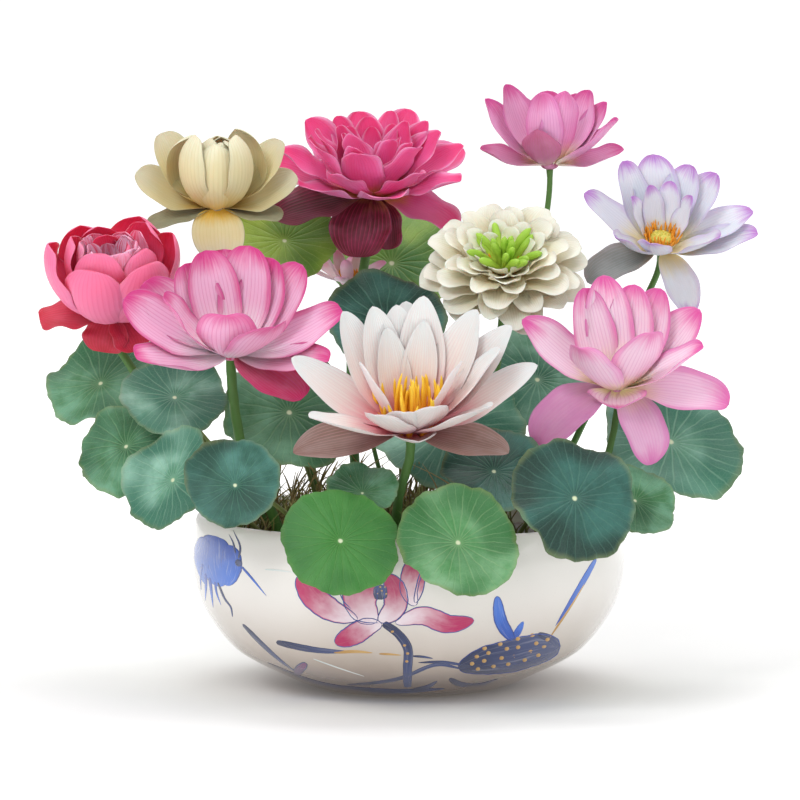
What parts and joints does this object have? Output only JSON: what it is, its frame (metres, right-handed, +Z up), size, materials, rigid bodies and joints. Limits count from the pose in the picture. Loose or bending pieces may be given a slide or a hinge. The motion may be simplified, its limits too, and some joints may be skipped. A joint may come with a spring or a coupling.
{
  "type": "lotus flower in bowl",
  "caption": "Lotus flowers and round lotus leaves on tall stems, growing out of mud in a wide, low glazed bowl that stands on a flat base.",
  "frame": {"origin": "centre of the bowl's flat base, on the surface it stands on", "axes": "+Z up out of the bowl, -Y towards the side that the front leaves hang over, +X to the right of someone who looks at that side"},
  "size_m": [0.4967, 0.369, 0.4136],
  "materials": {
    "glaze": "gloss",
    "mud": "matte",
    "stem": "satin",
    "stalk": "satin",
    "leaf_green": "satin",
    "leaf_blue": "satin",
    "leaf_light": "satin",
    "petals_cream": "satin",
    "petals_magenta": "satin",
    "petals_pink_cup": "satin",
    "petals_lavender": "satin",
    "petals_red": "satin",
    "petals_pink_left": "satin",
    "petals_white_double": "satin",
    "petals_lily": "satin",
    "petals_pink_right": "satin",
    "petals_small": "satin"
  },
  "bodies": {
    "root": {"bowl": "glaze", "mud": "mud", "stem_cream": "stem", "petals_cream": "petals_cream", "stem_magenta": "stem", "petals_magenta": "petals_magenta", "stem_pink_cup": "stem", "petals_pink_cup": "petals_pink_cup", "stem_lavender": "stem", "petals_lavender": "petals_lavender", "stem_red": "stem", "petals_red": "petals_red", "stem_pink_left": "stem", "petals_pink_left": "petals_pink_left", "stem_white_double": "stem", "petals_white_double": "petals_white_double", "stem_lily": "stem", "petals_lily": "petals_lily", "stem_pink_right": "stem", "petals_pink_right": "petals_pink_right", "stem_small": "stem", "petals_small": "petals_small", "stalk_front_left": "stalk", "leaf_front_left": "leaf_green", "stalk_front_middle": "stalk", "leaf_front_middle": "leaf_green", "stalk_front_right": "stalk", "leaf_front_right": "leaf_blue", "stalk_left_cupped": "stalk", "leaf_left_cupped": "leaf_blue", "stalk_left_blue": "stalk", "leaf_left_blue": "leaf_light", "stalk_left_low": "stalk", "leaf_left_low": "leaf_green", "stalk_left_high": "stalk", "leaf_left_high": "leaf_green", "stalk_left_middle": "stalk", "leaf_left_middle": "leaf_light", "stalk_centre_left": "stalk", "leaf_centre_left": "leaf_green", "stalk_left_back": "stalk", "leaf_left_back": "leaf_light", "stalk_centre": "stalk", "leaf_centre": "leaf_light", "stalk_centre_small": "stalk", "leaf_centre_small": "leaf_green", "stalk_centre_dark": "stalk", "leaf_centre_dark": "leaf_blue", "stalk_right_large": "stalk", "leaf_right_large": "leaf_light", "stalk_right_low": "stalk", "leaf_right_low": "leaf_green", "stalk_back_right": "stalk", "leaf_back_right": "leaf_light", "stalk_back_yellow": "stalk", "leaf_back_yellow": "leaf_light", "stalk_back_tall": "stalk", "leaf_back_tall": "leaf_light", "stalk_back_teal": "stalk", "leaf_back_teal": "leaf_blue"}
  },
  "joints": []
}
